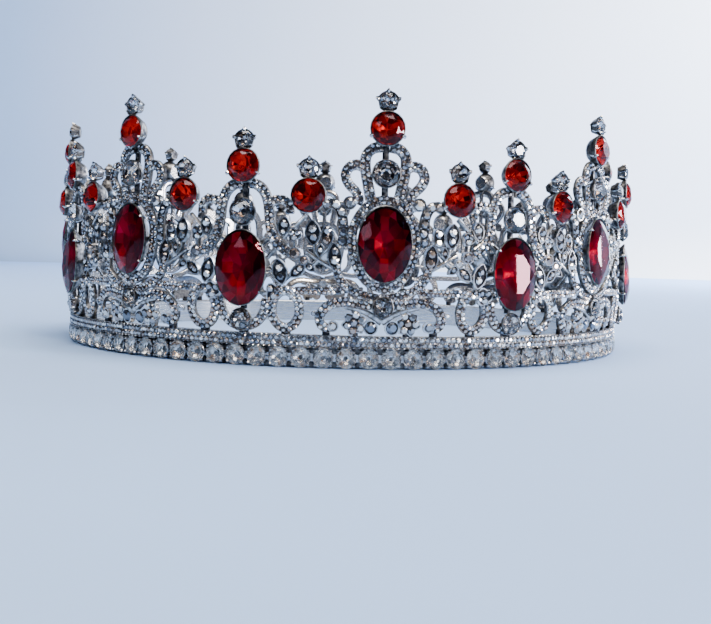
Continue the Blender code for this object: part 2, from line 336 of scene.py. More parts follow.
def to_mesh(editor, name, turn_outwards=True):
    if turn_outwards:
        bmesh.ops.recalc_face_normals(editor, faces=editor.faces)
    mesh = bpy.data.meshes.new(name)
    editor.to_mesh(mesh)
    editor.free()
    return mesh


BALL = bead_mesh()


def stamp(editor, mesh, matrix, painted_stone_flash=0.0):
    """Adds a copy of a mesh to the piece that is being made."""
    layer = editor.verts.layers.float["painted_stone_flash"]
    copy = mesh.copy()
    copy.transform(matrix)
    count = len(editor.verts)
    editor.from_mesh(copy)
    editor.verts.ensure_lookup_table()
    for vertex in editor.verts[count:]:
        vertex[layer] = painted_stone_flash
    bpy.data.meshes.remove(copy)


def sized(x, h, out, size, turn=0.0):
    """A flat place on the wall, turned about the outward axis and scaled."""
    spot = Matrix.Translation((x, -out, h))
    return spot @ Matrix.Rotation(turn, 4, "Y") @ Matrix.Scale(size, 4)


class Wall:
    """One casting in the making: its metal and its small stones, both still flat."""

    def __init__(self, seed):
        self.metal = new_editor()
        self.stones = new_editor()
        self.random = random.Random(seed)
        self.stone = small_stone_mesh()

    def set_stone(self, x, h, out, radius):
        turn = self.random.uniform(0.0, 0.8)
        place = sized(x, h, out, radius * self.random.uniform(*PAVE_SIZES), turn)
        tilt = Matrix.Rotation(self.random.uniform(-PAVE_TILT, PAVE_TILT), 4, "X")
        lean = Matrix.Rotation(self.random.uniform(-PAVE_TILT, PAVE_TILT), 4, "Z")
        # the last value picks the stone's painted flash
        stamp(self.stones, self.stone, place @ tilt @ lean, self.random.random())

    def set_bead(self, x, h, out, radius):
        stamp(self.metal, BALL, sized(x, h, out, radius))

    def pave(self, points, widths, lift, closed=False, pitch=PAVE_PITCH):
        """A strand with two staggered rows of small stones, held by grains at both edges."""
        add_strand(self.metal, points, widths, lift, PAVE_SECTION, PAVE_PATINA, closed)
        for row, shift in ((-1, 0.25), (1, 0.75)):
            for width, point, side in stations(points, widths, pitch, closed, shift):
                spot = point + side * row * width * 0.235
                self.set_stone(spot.x, spot.y, lift - 0.02, min(width * 0.28, pitch * 0.5))
            for width, point, side in stations(points, widths, pitch, closed, 1.0 - shift):
                grain = point + side * row * width * 0.43
                self.set_bead(grain.x, grain.y, lift + 0.02, PAVE_GRAIN)

    def pave_single(self, points, widths, lift, pitch):
        """A strand with one row of larger stones, held by grains between them."""
        add_strand(self.metal, points, widths, lift, PAVE_SECTION, PAVE_PATINA)
        for width, point, side in stations(points, widths, pitch):
            self.set_stone(point.x, point.y, lift - 0.06, min(width * 0.42, pitch * 0.48))
            along = Vector((-side.y, side.x)) * pitch / 2
            for edge in (-1, 1):
                grain = point + along + side * edge * width * 0.36
                self.set_bead(grain.x, grain.y, lift + 0.06, ARC_GRAIN)

    def wire(self, points, widths, lift):
        add_strand(self.metal, points, widths, lift, WIRE_SECTION, WIRE_PATINA)

    def strut(self, points):
        """A dark upright piece behind the stones, from cup to cup."""
        add_strand(self.metal, points, (STRUT_WIDTH, STRUT_WIDTH), STRUT_LIFT, WIRE_SECTION,
                   STRUT_PATINA)

    def setting(self, x, h, outline, lift, stones, turn=0.0):
        """A leaf or flower: a bright rim round a dark floor that is set with stones."""
        place = Matrix.Translation((x, -lift, h)) @ Matrix.Rotation(turn, 4, "Y")
        corners = [self.metal.verts.new(place @ Vector((px, SEAT, ph))) for px, ph in outline]
        set_patina(self.metal, corners, 0.5)
        face = self.metal.faces.new(corners)
        made = bmesh.ops.extrude_face_region(self.metal, geom=[face])["geom"]
        front = [item for item in made if isinstance(item, bmesh.types.BMFace)][0]
        bmesh.ops.translate(self.metal, vec=(0, -SEAT, 0), verts=front.verts)
        set_patina(self.metal, front.verts, RIM[2])
        for thickness, depth, patina in (RIM, FLOOR):
            bmesh.ops.inset_individual(self.metal, faces=[front], thickness=thickness)
            bmesh.ops.translate(self.metal, vec=(0, depth, 0), verts=front.verts)
            set_patina(self.metal, front.verts, patina)
        for px, ph, radius in stones:
            spot = place @ Vector((px, 0.0, ph))
            self.set_stone(spot.x, spot.z, lift - 0.12, radius)


def marquise_outline(half_width, half_height):
    """A pointed oval, as two arcs that meet at its ends."""
    steps = 6
    narrowest = 0.35
    right = [(half_width * math.sin(math.pi * index / steps),
              -half_height * math.cos(math.pi * index / steps)) for index in range(steps)]
    pointed = [(x * (narrowest + (1 - narrowest) * abs(x) / half_width), h) for x, h in right]
    return pointed + [(-x, -h) for x, h in pointed]


def round_outline(half_width, half_height, count=14):
    return ellipse_points(0.0, 0.0, half_width, half_height, count)


def flower_outline(radius, petals):
    """A flower's edge, which waves in and out once for each petal."""
    count = petals * 6
    wave = 0.14
    outline = []
    for index in range(count):
        angle = FULL_TURN * index / count
        reach = radius * (1 - wave + wave * math.cos(petals * angle))
        outline.append((reach * math.cos(angle), reach * math.sin(angle)))
    return outline


# The motifs: (points, widths at both ends, lift)

TALL_PAVE = [
    ([(1.0, 54.9), (3.3, 54.4), (4.9, 52.8), (5.2, 50.4), (4.8, 47.6), (4.2, 44.8), (3.6, 41.8)],
     (2.7, 2.8), 0.1),
    ([(5.0, 49.6), (7.4, 50.3), (9.3, 49.5), (10.1, 47.6), (9.2, 45.5), (7.5, 43.8), (6.5, 42.0),
      (6.9, 40.6)], (2.7, 2.3), 0.22),
    ([(11.7, 25.6), (11.2, 22.9), (9.1, 20.5), (6.3, 19.0), (3.2, 18.2), (0.8, 17.8)],
     (2.2, 1.8), 0.16),
    ([(0.6, 16.8), (3.0, 16.2), (5.6, 16.3), (8.8, 16.7), (12.0, 16.3), (14.4, 14.9),
      (15.7, 12.8), (15.2, 10.9), (13.6, 10.1), (12.4, 10.5)], (2.7, 2.4), 0.3),
]
TALL_FRAME = [(0.0, 41.7), (3.4, 40.8), (6.2, 38.1), (7.8, 34.4), (8.0, 30.6), (7.1, 26.5),
              (5.3, 23.1), (2.9, 21.0)]
TALL_ARC = [(15.4, 39.7), (13.6, 40.7), (11.7, 40.0), (10.6, 37.8), (10.3, 35.0), (10.2, 32.4),
            (10.7, 30.4)]
BAR = [(8.8, 19.8), (11.4, 19.3), (15.0, 19.2), (20.0, 19.2), (23.4, 18.8)]
TALL_WIRE = [
    ([(9.4, 15.5), (5.6, 14.7), (2.6, 13.4), (0.0, 11.7)], (1.1, 1.7), 0.55),
    ([(12.2, 24.6), (15.6, 26.4), (19.4, 28.7)], (1.2, 1.0), -0.1),
    ([(12.8, 31.0), (14.4, 29.4), (16.6, 27.2)], (1.1, 1.1), -0.2),
    ([(17.5, 31.6), (17.2, 29.2), (16.2, 27.0), (18.2, 25.2)], (1.1, 1.1), -0.15),
    ([(6.8, 16.0), (6.7, 14.0)], (1.8, 1.8), -0.2),
    ([(5.2, 31.0), (7.6, 31.0)], (1.6, 1.6), -0.2),
]
TALL_STRUTS = [((0.0, 55.6), (0.0, 50.5)), ((0.0, 45.9), (0.0, 42.2)), ((0.0, 39.6), (0.0, 41.6)),
               ((0.0, 22.6), (0.0, 20.2))]
# Leaves: (x, h, half width, half height, turn, stones), and a stone is (x, h, radius)
TALL_LEAVES = [
    (12.2, 27.6, 1.95, 3.6, 0.10, [(0.05, 1.35, 1.05), (-0.05, -1.0, 1.2)]),
    (17.9, 33.4, 2.05, 3.3, 0.10, [(0.0, 1.05, 1.15), (0.0, -1.2, 1.05)]),
    (15.9, 29.1, 1.0, 1.7, -0.1, [(0.0, 0.0, 0.62)]),
    (18.4, 25.0, 1.05, 1.8, 0.9, [(0.0, 0.0, 0.65)]),
]
MEDIUM_PAVE = [
    ([(1.0, 45.4), (3.3, 44.9), (5.1, 43.3), (6.2, 40.8), (6.6, 37.6), (7.0, 34.4), (8.4, 31.2),
      (10.6, 29.1), (12.4, 28.3)], (2.7, 2.5), 0.1),
    ([(6.8, 40.2), (8.2, 41.2), (10.2, 41.3), (11.8, 40.0), (12.0, 37.9)], (2.4, 2.1), 0.24),
]
MEDIUM_POINT = [(-6.4, 16.8), (-5.8, 13.9), (-4.4, 11.6), (-2.2, 10.2), (0.0, 9.8), (2.2, 10.2),
                (4.4, 11.6), (5.8, 13.9), (6.4, 16.8)]
MEDIUM_LOOP = (11.3, 14.4, 3.6, 4.6)       # x, h, half width, half height
MEDIUM_WIRE = [
    ([(7.9, 38.6), (7.8, 35.6), (8.9, 32.6), (11.6, 30.4)], (0.8, 0.8), 0.1),
    ([(6.4, 18.2), (9.4, 20.4), (12.2, 22.8), (15.4, 25.6), (14.2, 27.8)], (1.2, 1.1), -0.1),
    ([(13.2, 31.6), (13.4, 29.0)], (1.1, 1.1), -0.1),
    ([(6.2, 27.0), (8.4, 29.6), (12.0, 33.8), (16.0, 37.6)], (1.1, 1.0), -0.35),
    ([(4.2, 30.2), (6.0, 31.6), (7.8, 32.6)], (1.5, 1.3), -0.25),
    ([(5.4, 24.2), (7.6, 23.9), (9.4, 23.7)], (1.4, 1.2), -0.25),
    ([(4.2, 18.8), (5.6, 18.2), (7.6, 18.6)], (1.4, 1.3), -0.25),
]
MEDIUM_STRUTS = [((0.0, 46.0), (0.0, 40.4)), ((0.0, 36.0), (0.0, 31.8)),
                 ((0.0, 17.0), (0.0, 14.2))]
MEDIUM_LEAVES = [
    (9.8, 23.6, 2.05, 3.4, -0.25, [(0.0, 1.05, 1.05), (0.0, -1.1, 0.95)]),
    (14.3, 24.0, 1.5, 2.5, 0.85, [(0.0, 0.65, 0.75), (0.0, -0.75, 0.7)]),
    (10.5, 34.8, 1.7, 2.5, 0.15, [(0.0, 0.5, 1.1), (0.0, -1.3, 0.65)]),
]
FAN = [(0.0, 0.0, 1.05), (1.95, 0.35, 1.05), (0.68, 1.9, 1.02), (-1.3, 1.55, 1.05),
       (-1.95, -0.35, 1.0), (-0.68, -1.9, 1.05), (1.3, -1.55, 1.02)]
CLUSTER = [(0.78, 0.6, 0.76), (-0.78, 0.6, 0.76), (0.0, -0.8, 0.82)]


def on_both_sides(draw, strands, centre):
    """Draws each strand and its mirror image about a motif's axis."""
    for points, *rest in strands:
        draw(moved(points, centre), *rest)
        draw(moved(mirrored(points), centre), *rest)


def set_leaves(wall, leaves, centre):
    for x, h, half_width, half_height, turn, stones in leaves:
        outline = marquise_outline(half_width, half_height)
        for side in (1, -1):
            wall.setting(centre + side * x, h, outline, 0.3, stones, side * turn)


def draw_tall_motif(wall):
    on_both_sides(wall.pave, TALL_PAVE, 0.0)
    frame_points = TALL_FRAME + [(0.0, 20.2)] + mirrored(TALL_FRAME[:0:-1])
    wall.pave(frame_points, (2.4, 2.4), 0.18, closed=True)
    on_both_sides(wall.pave_single, [(TALL_ARC, (2.5, 2.7), 0.05, 2.2)], 0.0)
    on_both_sides(wall.pave, [(BAR, (2.0, 2.0), 0.0, False, 1.15)], 0.0)
    on_both_sides(wall.wire, TALL_WIRE, 0.0)
    for ends in TALL_STRUTS:
        wall.strut(ends)
    set_leaves(wall, TALL_LEAVES, 0.0)
    for side in (1, -1):
        wall.setting(side * 8.8, 40.9, round_outline(1.7, 1.7), 0.4, [(0.0, 0.0, 1.3)])
        wall.setting(side * 14.2, 32.8, round_outline(1.65, 2.6), 0.25,
                     [(0.0, 1.1, 1.1), (0.0, -1.1, 1.05)])
        wall.setting(side * 6.9, 11.5, flower_outline(3.35, 6), 0.35, FAN, side * 0.2)
        wall.setting(side * 2.75, 10.4, round_outline(1.9, 1.95), 0.2, [(0.0, 0.0, 1.65)])
        wall.setting(side * 12.3, 10.6, round_outline(1.45, 1.45), 0.5, [(0.0, 0.0, 1.2)])
        wall.setting(side * 17.2, 13.6, round_outline(0.9, 0.9), 0.2, [(0.0, 0.0, 0.65)])


def draw_medium_motif(wall):
    on_both_sides(wall.pave, MEDIUM_PAVE, MEDIUM_X)
    wall.pave(moved(MEDIUM_POINT, MEDIUM_X), (2.4, 2.4), 0.2)
    x, h, half_width, half_height = MEDIUM_LOOP
    for side in (1, -1):
        loop = ellipse_points(MEDIUM_X + side * x, h, half_width, half_height, 12)
        wall.pave(loop, (2.4, 2.4), 0.12, closed=True)
    on_both_sides(wall.wire, MEDIUM_WIRE, MEDIUM_X)
    for ends in MEDIUM_STRUTS:
        wall.strut(moved(ends, MEDIUM_X))
    set_leaves(wall, MEDIUM_LEAVES, MEDIUM_X)
    for side in (1, -1):
        wall.setting(MEDIUM_X + side * 13.2, 32.8, flower_outline(1.9, 3), 0.2, CLUSTER)
        wall.setting(MEDIUM_X + side * 13.4, 28.2, round_outline(1.6, 1.6), 0.35,
                     [(0.0, 0.0, 1.3)])
        wall.setting(MEDIUM_X + side * 15.8, 26.6, round_outline(1.25, 1.25), 0.35,
                     [(0.0, 0.0, 1.0)])
        wall.setting(MEDIUM_X + side * 8.3, 18.5, flower_outline(2.5, 3), 0.35,
                     [(1.0, 0.8, 0.95), (-1.0, 0.8, 0.95), (0.0, -1.0, 1.0)])


def bend(editor):
    """Bends the flat wall round the crown's axis."""
    for vertex in editor.verts:
        angle = vertex.co.x / STONE_RADIUS
        radius = WALL_FRONT - vertex.co.y - foot_inset(vertex.co.z)
        vertex.co = (radius * math.sin(angle), -radius * math.cos(angle), vertex.co.z)


# Cups and claws, made upright round the Y axis and then stood on the wall

# A claw's stops from its root to its end, as (away from the stone, inwards, thickness)
BENT_CLAW = [(-1.2, 1.6, 1.0), (0.15, 0.6, 1.1), (0.42, -0.15, 1.0), (0.3, -0.45, 0.8),
             (-0.15, -0.75, 0.55)]
POINTED_CLAW = [(-1.2, 1.6, 1.0), (0.1, 0.6, 1.3), (0.45, 0.05, 1.3), (0.95, -0.2, 1.0),
                (1.6, -0.35, 0.3)]
DIAGONALS = (45, 135, 225, 315)
CLAW_REACH = 0.6 / 0.45    # how far a claw's stops stand off, for each unit of its size
# Right half of a tip cup's outline, from its top point down
TIP_OUTLINE = [(0.3, 2.95), (0.7, 2.5), (1.5, 2.15), (2.1, 1.65), (2.5, 1.15), (3.15, 1.1),
               (3.15, 0.6), (2.6, 0.2), (2.45, -0.6), (2.1, -2.0), (1.0, -2.6)]
TIP_TAPER = 0.62           # size of the cup's back, as a share of its front
TIP_DEPTH = 2.5


def wall_place(angle, radius, height):
    """A place on the crown that faces out, with local Y pointing at the axis."""
    spot = Vector((radius * math.sin(angle), -radius * math.cos(angle), height))
    return Matrix.Translation(spot) @ Matrix.Rotation(angle, 4, "Z")


def turn_profile(editor, profile, axis, steps, closed=False):
    """Spins a profile of (point, patina) a full turn about an axis through the origin."""
    layer = editor.verts.layers.float["patina"]
    verts = []
    for point, patina in profile:
        vertex = editor.verts.new(point)
        vertex[layer] = patina
        verts.append(vertex)
    pairs = zip(verts, verts[1:] + verts[:1] if closed else verts[1:])
    edges = [editor.edges.new(pair) for pair in pairs]
    bmesh.ops.spin(editor, geom=verts + edges, cent=(0, 0, 0), axis=axis, angle=FULL_TURN,
                   steps=steps, use_merge=True)


def turned_cup(half_width, half_height, depth, steps, lip=0.32):
    """A tapered cup with a rolled lip; local Y = 0 is the girdle of its stone."""
    editor = new_editor()
    reach = half_width + lip
    bed = half_width / reach
    section = [(0.0, depth, 0.1), (0.55, depth, 0.1), (0.72, depth * 0.8, 0.7),
               (1.0, 0.35, 0.8), (1.0, -0.1, 0.6), ((1.0 + bed) / 2, -0.2, 0.45),
               (bed, -0.05, 1.0), (0.8, depth * 0.6, 1.0), (0.3, depth * 0.92, 1.0),
               (0.0, depth * 0.93, 1.0)]
    profile = [((size * reach, inwards, 0.0), patina) for size, inwards, patina in section]
    turn_profile(editor, profile, (0, 1, 0), steps)
    bmesh.ops.remove_doubles(editor, verts=editor.verts, dist=0.001)
    stretch = Matrix.Diagonal((1.0, 1.0, (half_height + lip) / reach, 1.0))
    bmesh.ops.transform(editor, matrix=stretch, verts=editor.verts)
    return editor


def add_claw(editor, angle, half_width, half_height, size, stops=None):
    """A claw that climbs the cup's side and bends over the stone's edge, or stands out."""
    direction = Vector((math.cos(angle), 0.0, math.sin(angle)))
    reach = Vector((half_width * direction.x, 0.0, half_height * direction.z))
    outward = reach.normalized()
    across = Vector((-outward.z, 0.0, outward.x))
    stops = stops or BENT_CLAW
    points = [reach + outward * away * size * CLAW_REACH + Vector((0, inwards, 0))
              for away, inwards, thickness in stops]
    matrices = []
    for index, point in enumerate(points):
        ahead = points[min(index + 1, len(points) - 1)] - points[max(index - 1, 0)]
        ahead.normalize()
        up = ahead.cross(across)
        thickness = size * stops[index][2]
        matrix = Matrix((across * thickness, up * thickness, ahead)).transposed().to_4x4()
        matrix.translation = point
        matrices.append(matrix)
    section = [(math.cos(turn), math.sin(turn), 0.0)
               for turn in [FULL_TURN * index / 6 for index in range(6)]]
    extrude_section(editor, section, matrices)


def stand(target, part, matrix):
    """Adds a finished part to a piece at its place on the wall."""
    mesh = to_mesh(part, "part")
    stamp(target, mesh, matrix)
    bpy.data.meshes.remove(mesh)


def round_cup(half, depth, claw_angles, claw_size, stops=None):
    """A round cup with its claws at the given angles, in degrees."""
    cup = turned_cup(half, half, depth, 20)
    for degrees in claw_angles:
        add_claw(cup, math.radians(degrees), half, half, claw_size, stops)
    return cup


def tip_cup():
    """The crown-like cup of a tip stone: a tapered pentagon with its claws drawn out."""
    cup = new_editor()
    outline = TIP_OUTLINE + mirrored(TIP_OUTLINE[::-1])
    lip = -0.1
    corners = [cup.verts.new((x * TIP_TAPER, lip + TIP_DEPTH, h * TIP_TAPER))
               for x, h in outline]
    face = cup.faces.new(corners)
    made = bmesh.ops.extrude_face_region(cup, geom=[face])["geom"]
    front = [item for item in made if isinstance(item, bmesh.types.BMFace)][0]
    bmesh.ops.translate(cup, vec=(0, -TIP_DEPTH, 0), verts=front.verts)
    bmesh.ops.scale(cup, vec=(1 / TIP_TAPER, 1.0, 1 / TIP_TAPER), verts=front.verts)
    set_patina(cup, cup.verts, 0.75)
    bmesh.ops.inset_individual(cup, faces=[front], thickness=0.18)
    set_patina(cup, front.verts, 1.0)
    bmesh.ops.translate(cup, vec=(0, 2.0, 0), verts=front.verts)
    bmesh.ops.scale(cup, vec=(TIP_TAPER, 1.0, TIP_TAPER), verts=front.verts)
    for degrees in (10, 90, 170):
        add_claw(cup, math.radians(degrees), TIP_HALF, TIP_HALF, 0.42, POINTED_CLAW)
    for degrees in (215, 325):
        add_claw(cup, math.radians(degrees), TIP_HALF, TIP_HALF, 0.3)
    return cup


def red_cup():
    """A round cup with ball-ended claws low on both sides."""
    cup = round_cup(RED_HALF, 3.6, (-25, 205, 270), 0.36)
    for degrees in (-25, 205):
        turn = math.radians(degrees)
        reach = RED_HALF + 0.45
        spot = Matrix.Translation((reach * math.cos(turn), -0.1, reach * math.sin(turn)))
        stamp(cup, BALL, spot @ Matrix.Scale(0.52, 4))
    return cup


def oval_cup():
    """A thin-lipped cup with a claw on each shoulder."""
    cup = turned_cup(*OVAL_HALF, 3.6, 32, 0.2)
    for degrees in (38, 142, 218, 322):
        add_claw(cup, math.radians(degrees), *OVAL_HALF, 0.34)
    return cup


def add_cups(casting):
    """Every cup of one panel, at the height and the arc of its stone."""
    behind = STONE_RADIUS - CLEAR_STEP
    cups = []
    for x, motif in TIPS:
        cups.append((tip_cup(), x, motif["tip"], behind))
        cups.append((red_cup(), x, motif["red"], STONE_RADIUS))
    for x, motif in MOTIFS:
        cups.append((oval_cup(), x, motif["oval"], STONE_RADIUS))
        clear = round_cup(motif["clear_half"], 2.4, DIAGONALS, 0.3)
        cups.append((clear, x, motif["clear"], behind))
        low = round_cup(motif["low_half"], 2.2, DIAGONALS, 0.28)
        cups.append((low, x, motif["low"], behind))
    for cup, x, height, radius in cups:
        place = wall_place(x / STONE_RADIUS, radius - foot_inset(height), height)
        stand(casting, cup, place)


def add_feet(casting):
    """Dark solder feet between the casting and the rail."""
    spots = [(side * x, 1.9) for x in (6.8, 14.0) for side in (1, -1)]
    spots += [(MEDIUM_X + x, 2.2) for x in (0.0, -11.3, 11.3)]
    for x, width in spots:
        foot = new_editor()
        bmesh.ops.create_cube(foot, size=1.0)
        bmesh.ops.bevel(foot, geom=foot.edges[:], offset=FOOT_ROUNDING, segments=2,
                        profile=0.5, affect="EDGES", material=-1)
        bmesh.ops.transform(foot, verts=foot.verts,
                            matrix=Matrix.Diagonal((width, FOOT_DEPTH, FOOT_HEIGHT, 1.0)))
        set_patina(foot, foot.verts, 1.0)
        height = RAIL_HIGH + 0.6
        radius = WALL_FRONT - 0.9 - foot_inset(height)
        stand(casting, foot, wall_place(x / STONE_RADIUS, radius, height))


# Materials

def colour(code):
    """An sRGB hex colour as linear RGBA."""
    values = [int(code[index:index + 2], 16) / 255 for index in (1, 3, 5)]
    linear = [v / 12.92 if v <= 0.04045 else ((v + 0.055) / 1.055) ** 2.4 for v in values]
    return (*linear, 1.0)


def set_up(tree, node, settings=(), links=(), stops=()):
    """Gives a node its settings, its links and, on a ramp, its stops as (position, hex).

    An input is named by name or number, and a link comes from a socket or, where a node is
    given, from that node's first output.
    """
    for name, value in dict(settings).items():
        if isinstance(name, str) and name in node.bl_rna.properties:
            setattr(node, name, value)
        else:
            node.inputs[name].default_value = value
    for name, source in dict(links).items():
        socket = source.outputs[0] if isinstance(source, bpy.types.Node) else source
        tree.links.new(socket, node.inputs[name])
    ends = {0: 0, len(stops) - 1: -1}
    for number, (position, code) in enumerate(stops):
        elements = node.color_ramp.elements
        stop = elements[ends[number]] if number in ends else elements.new(position)
        stop.color = colour(code)


def add_node(tree, kind, settings=(), links=(), stops=()):
    node = tree.nodes.new("ShaderNode" + kind)
    set_up(tree, node, settings, links, stops)
    return node


def new_material(name):
    """A material, its node tree, its shader and the place on the piece."""
    material = bpy.data.materials.new(name)
    material.use_nodes = True
    tree = material.node_tree
    place = add_node(tree, "TexCoord").outputs["Object"]
    return material, tree, tree.nodes["Principled BSDF"], place


def repeats(size):
    """The scale of a pattern whose marks are this many millimetres across."""
    return 1 / (size * MM)


def antique_silver_casting():
    """Zinc alloy, centrifugally cast, silver-plated, blackened and rubbed back by hand.

    It gives the eye bright grains and rims over recesses that go nearly black and dull.
    """
    material, tree, shader, place = new_material("antique_silver_casting")
    patina = add_node(tree, "Attribute", {"attribute_name": "patina"}).outputs["Fac"]
    # The rubbing leaves patches about as wide as a pave stone, 1.1 mm
    wear = add_node(tree, "TexNoise", {"Scale": repeats(1.1111), "Detail": 3.0},
                    {"Vector": place})
    spread = add_node(tree, "MapRange", {"From Min": 0.3, "From Max": 0.7, "To Min": -0.25,
                                         "To Max": 0.35}, {"Value": wear})
    dark = add_node(tree, "Math", {"operation": "ADD", "use_clamp": True},
                    {0: patina, 1: spread})
    ramp = add_node(tree, "ValToRGB", links={"Fac": dark},
                    stops=((0.0, "#cfccca"), (0.45, "#898683"), (1.0, "#26272c")))
    rough = add_node(tree, "MapRange", {"To Min": 0.16, "To Max": 0.5}, {"Value": dark})
    # The cast skin has a grain of about 0.1 mm; it is drawn at 0.38 mm, or it wouldn't show
    grain = add_node(tree, "TexNoise", {"Scale": repeats(0.384615), "Detail": 2.0},
                     {"Vector": place})
    bump = add_node(tree, "Bump", {"Strength": 0.25, "Distance": 0.00008}, {"Height": grain})
    set_up(tree, shader, {"Metallic": 1.0},
           {"Base Color": ramp, "Roughness": rough, "Normal": bump})
    return material


def bright_silver_strip():
    """Brass strip and cups, rolled and drawn, then silver-plated and left bright.

    It gives the eye an even, light sheen that is broken only by fine lines along the ring.
    """
    material, tree, shader, place = new_material("bright_silver_strip")
    # Rolling leaves scratches a few hundredths of a millimetre wide and several millimetres
    # long; they are drawn 0.17 mm wide, or they wouldn't show, and about 7 mm long
    marks = (repeats(6.6667), repeats(6.6667), repeats(0.166667))
    stretched = add_node(tree, "Mapping", {"Scale": marks}, {"Vector": place})
    lines = add_node(tree, "TexNoise", {"Scale": 1.0, "Detail": 4.0}, {"Vector": stretched})
    ramp = add_node(tree, "ValToRGB", links={"Fac": lines},
                    stops=((0.0, "#adacad"), (1.0, "#dfe0e4")))
    rough = add_node(tree, "MapRange", {"To Min": 0.18, "To Max": 0.36}, {"Value": lines})
    set_up(tree, shader, {"Metallic": 1.0}, {"Base Color": ramp, "Roughness": rough})
    return material


def small_rhinestone():
    """Pressed pave glass of about 1.2 mm with mirror foil, each stone with its own painted flash,
    some warm and some cool.

    At this size the eye gets only the flash of each facet, so the facets are mirrors.
    """
    material, tree, shader, place = new_material("small_rhinestone_painted_flash")
    # painted light: a random painted flash for each stone, from dull grey to warm or cool white
    painted_stone_flash = add_node(tree, "Attribute", {"attribute_name": "painted_stone_flash"}).outputs["Fac"]
    ramp = add_node(tree, "ValToRGB", links={"Fac": painted_stone_flash},
                    stops=((0.0, "#9a9a9e"), (0.22, "#b09c8e"), (0.34, "#7f858f"),
                           (0.65, "#bebab7"), (1.0, "#faf5ee")))
    # Haze from the press and from handling changes about once from facet to facet, 0.67 mm
    haze = add_node(tree, "TexNoise", {"Scale": repeats(0.666667)}, {"Vector": place})
    rough = add_node(tree, "MapRange", {"To Min": 0.1, "To Max": 0.3}, {"Value": haze})
    set_up(tree, shader, {"Metallic": 1.0}, {"Base Color": ramp, "Roughness": rough})
    return material


def cut_glass(name, low, high, zone, sheen):
    """Lead glass, machine-cut and fire-polished: its table mirrors the windows of a room.

    It gives the eye depth, because the foil is seen through it, and a faint zoning of its
    colour; a zone is as many millimetres wide as said.
    """
    material, tree, shader, place = new_material(name)
    zones = add_node(tree, "TexNoise", {"Scale": repeats(zone), "Detail": 1.0},
                     {"Vector": place})
    ramp = add_node(tree, "ValToRGB", links={"Fac": zones}, stops=((0.0, low), (1.0, high)))
    rub = add_node(tree, "MapRange", {"To Min": 0.0, "To Max": 0.03}, {"Value": zones})
    set_up(tree, shader,
           {"Transmission Weight": 1.0, "IOR": 1.56, "Specular Tint": colour(sheen)},
           {"Base Color": ramp, "Roughness": rub})
    return material


def foil_with_painted_facet_light(name, painted_light_stops, ripple_size, roughness):
    """Silvered and lacquered foil on a stone's back, with painted light laid facet by facet.

    It gives the eye facets that each light up or go dark on their own, as painted flashes and
    painted dark reflections. The lacquer is slightly uneven, over as many millimetres as said,
    and shifts these painted shades.
    """
    material, tree, shader, place = new_material(name)
    # painted light: the facet's painted brightness, nudged by the lacquer's ripple
    painted_facet_light = add_node(tree, "Attribute", {"attribute_name": "painted_facet_light"}).outputs["Fac"]
    ripple = add_node(tree, "TexNoise", {"Scale": repeats(ripple_size), "Detail": 2.0},
                      {"Vector": place})
    drift = add_node(tree, "MapRange", {"To Min": -0.12, "To Max": 0.12}, {"Value": ripple})
    depth = add_node(tree, "Math", {"operation": "ADD", "use_clamp": True},
                     {0: painted_facet_light, 1: drift})
    ramp = add_node(tree, "ValToRGB", links={"Fac": depth}, stops=painted_light_stops)
    set_up(tree, shader, {"Metallic": 1.0, "Roughness": roughness}, {"Base Color": ramp})
    return material


# Pieces

def place_piece(name, mesh, matrix, materials, node=None, smooth=None):
    """Makes a mesh in millimetres a piece of the crown, in metres and at the origin."""
    mesh.transform(Matrix.Scale(MM, 4) @ matrix)
    mesh.update()
    for material in materials:
        mesh.materials.append(material)
    if smooth:
        mesh.shade_smooth()
        mesh.set_sharp_from_angle(angle=math.radians(smooth))
    piece = bpy.data.objects.new(name, mesh)
    bpy.context.scene.collection.objects.link(piece)
    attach(piece, "root")
    if node:
        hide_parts(node)


def finish_ring(name, editor, materials, node=None, smooth=None):
    """Makes a piece of an editor that holds a whole ring."""
    mesh = to_mesh(editor, name, False)
    place_piece(name, mesh, Matrix(), materials, node, smooth)


def finish_panels(name, editor, materials, node=None, smooth=None):
    """Eight copies of a panel's part, turned round the crown; the first is at the front."""
    mesh = to_mesh(editor, name, False)
    for index in range(PANELS):
        turn = Matrix.Rotation(index * CELL_ANGLE, 4, "Z")
        replaced = f"{node}_{index + 1}" if node else None
        place_piece(f"{name}_{index + 1}", mesh.copy(), turn, materials, replaced, smooth)


def build_panels(metal, small, glass, foil):
    wall = Wall(SEED)
    draw_tall_motif(wall)
    draw_medium_motif(wall)
    for editor in (wall.metal, wall.stones):
        bmesh.ops.recalc_face_normals(editor, faces=editor.faces)
        bend(editor)
    add_cups(wall.metal)
    add_feet(wall.metal)
    finish_panels("panel_casting", wall.metal, [metal], "wall_panel", SMOOTH_UP_TO)
    finish_panels("panel_small_stones", wall.stones, [small])
    finish_panels("panel_clear_stones", clear_stones(), [glass, foil])


def clear_stones():
    """The tip stones and the other clear stones of one panel, each with its own turn."""
    stones = [(x, motif["tip"], TIP_HALF) for x, motif in TIPS]
    for x, motif in MOTIFS:
        stones.append((x, motif["clear"], motif["clear_half"]))
        stones.append((x, motif["low"], motif["low_half"]))
    editor = new_editor()
    spin = random.Random(SEED + 4)
    crown, pavilion = CLEAR_CUT
    for number, (x, height, half) in enumerate(stones):
        stone = large_stone_mesh(half, half, half * crown, half * pavilion, number)
        radius = STONE_RADIUS - CLEAR_STEP - foot_inset(height)
        place = wall_place(x / STONE_RADIUS, radius, height)
        lean = Matrix.Rotation(spin.uniform(-0.12, 0.05), 4, "X")
        twist = Matrix.Rotation(spin.uniform(0.0, 6.2), 4, "Y")
        stamp(editor, stone, place @ lean @ twist)
    return editor


